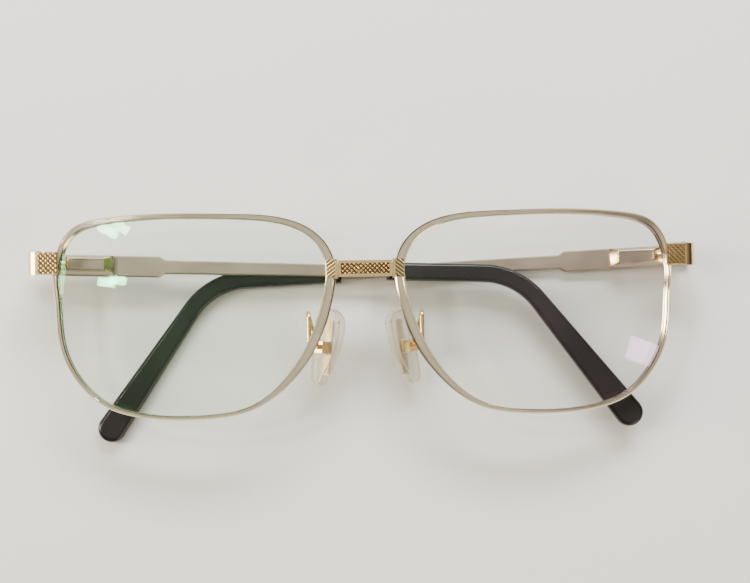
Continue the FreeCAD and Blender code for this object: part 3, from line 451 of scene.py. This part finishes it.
for side_name, side in SIDES.items():
    paint(f"temple_bar_{side_name}", satin_plating)
    bpy.ops.object.select_all(action="DESELECT")
    bpy.ops.mesh.primitive_cube_add(size=1)
    housing = bpy.context.active_object
    housing.name = f"spring_housing_{side_name}"
    bpy.ops.object.mode_set(mode="EDIT")
    bpy.ops.mesh.select_all(action="SELECT")
    bpy.ops.transform.resize(value=(HOUSING_LENGTH, HOUSING_HEIGHT, HOUSING_SHOULDER - HOUSING_LOW),
                             center_override=(0, 0, 0))
    bpy.ops.transform.translate(value=(housing_middle, 0, (HOUSING_SHOULDER + HOUSING_LOW) / 2))
    pick_faces(housing, lambda face: face.normal.z > 0.9)
    bpy.ops.mesh.extrude_region_move(TRANSFORM_OT_translate={
        "value": (top_middle - housing_middle, 0, HOUSING_TOP - HOUSING_SHOULDER)})
    bpy.ops.transform.resize(value=(TOP_LENGTH / HOUSING_LENGTH, TOP_HEIGHT / HOUSING_HEIGHT, 1),
                             center_override=(top_middle, 0, HOUSING_TOP))
    bpy.ops.mesh.select_all(action="SELECT")
    bpy.ops.mesh.bevel(offset=HOUSING_ROUND, segments=3, affect="EDGES", clamp_overlap=True)
    pick_faces(housing, lambda face: face.normal.z > 0.9999 and face.center.z > HOUSING_TOP * 0.99)
    bpy.ops.mesh.inset(thickness=PANEL_EDGE, depth=0)
    bpy.ops.mesh.inset(thickness=PANEL_SLOPE, depth=-PANEL_DEEP)
    bpy.ops.object.mode_set(mode="OBJECT")
    bpy.ops.mesh.primitive_cylinder_add(vertices=48, radius=BORE_RADIUS, depth=2 * BORE_END,
                                        rotation=(0, math.pi / 2, 0))
    drill = bpy.context.active_object
    bored = housing.modifiers.new("bore", "BOOLEAN")
    bored.object = drill
    bored.operation = "DIFFERENCE"
    bpy.ops.object.select_all(action="DESELECT")
    bpy.context.view_layer.objects.active = housing
    housing.select_set(True)
    bpy.ops.object.modifier_apply(modifier="bore")
    bpy.data.objects.remove(drill)
    housing.data.materials.append(satin_plating)
    housing.data.materials.append(gold_plating)
    # The sloping ends are polished, and their lighter gold is also a painted highlight of their lit
    # edges.
    for face in housing.data.polygons:
        slope = abs(face.normal.x) > 0.25 and face.center.z > HOUSING_SHOULDER
        face.material_index = 1 if slope else 0
    handed = Matrix.Diagonal((-side, 1, 1, 1))
    housing.data.transform(Matrix.Translation(pins[f"{side_name}_temple_fold"])
                           @ Matrix.Rotation(side * TEMPLE_DROP, 4, "Z") @ handed)
    if side > 0:
        housing.data.flip_normals()
    bpy.ops.object.shade_smooth_by_angle(angle=math.radians(30))
    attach(housing, f"{side_name}_temple")
    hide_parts(f"spring_box_{side_name}")

# ---------------------------------------------------------------- temple tips
# Sleeves of acetate, polished almost black, pushed over the ends of the bars while warm and then bent
# down behind the ear.
tip_acetate, place = new_finish("tip_acetate")
cloud = place.noise(scale=120, detail=4)
scuffs = place.noise(scale=2400, detail=5, stretch=(0.25, 1, 1))
tone = cloud.blend_colour((0.006, 0.005, 0.005), (0.016, 0.013, 0.012))
bump = place.node("ShaderNodeBump", {}, {"Strength": 0.04, "Distance": MARK_DEPTH, "Height": scuffs})
acetate = place.node("ShaderNodeBsdfPrincipled", {}, {
    "Base Color": tone, "Roughness": scuffs * 0.12 + cloud * 0.1 + 0.12, "IOR": 1.36, "Normal": bump})
place.node("ShaderNodeOutputMaterial", {}, {"Surface": acetate})
for side_name in SIDES:
    paint(f"temple_tip_{side_name}", tip_acetate)

# ---------------------------------------------------------------- nose pads
# Clear soft plastic moulded round a gold-plated strip whose boss is screwed into a small open box on
# the end of a bent wire arm.
pad_plastic, place = new_finish("pad_plastic")
edge_on = place.node("ShaderNodeLayerWeight", {}, {"Blend": 0.5}, 1)
haze = place.noise(scale=500, detail=3)
gloss = place.node("ShaderNodeBsdfPrincipled", {}, {
    "Base Color": haze.blend_colour((0.74, 0.68, 0.55), (0.92, 0.89, 0.82)),
    "Roughness": haze * 0.1 + 0.05, "IOR": 1.45})
through = place.node("ShaderNodeBsdfTransparent", {}, {"Color": (0.93, 0.92, 0.87, 1)})
CLOUDED = 0.08
CLOUDED_EDGE_ON = 0.85
clouded = CLOUDED + CLOUDED_EDGE_ON * edge_on
clear_plastic = place.node("ShaderNodeMixShader", {}, {0: clouded, 1: through, 2: gloss})
place.node("ShaderNodeOutputMaterial", {}, {"Surface": clear_plastic})
PAD_TURN = math.radians(43)
PAD_LEAN = math.radians(6.5)
PAD_FACE_AWAY = 0.6 * MM
PAD_EDGE = 0.35 * MM
PAD_SLOPE = 0.25 * MM
PAD_DISH = 0.22 * MM
for side_name, side in SIDES.items():
    pad = worked_copy(f"nose_pad_{side_name}", f"clear_pad_{side_name}")
    pad_turn = Matrix.Rotation(side * PAD_LEAN, 3, "Z") @ Matrix.Rotation(side * PAD_TURN, 3, "Y")
    away = front_turn @ pad_turn @ Vector((0, 0, 1))
    middle = sum(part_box(f"nose_pad_{side_name}"), Vector()) / 2
    for facing in (-1, 1):
        pick_faces(pad, lambda face: face.normal.dot(away) * facing > 0.9
                   and (face.center - middle).dot(away) * facing > PAD_FACE_AWAY)
        bpy.ops.mesh.inset(thickness=PAD_EDGE, depth=0, use_even_offset=False)
        bpy.ops.mesh.inset(thickness=PAD_SLOPE, depth=-PAD_DISH, use_even_offset=False)
    finish_piece(pad, pad_plastic, f"{side_name}_nose_pad", 40)
    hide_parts(f"nose_pad_{side_name}")
    for metal_part in ("pad_core", "pad_box", "pad_arm"):
        paint(f"{metal_part}_{side_name}", gold_plating)
    paint(f"pad_screw_{side_name}", steel)
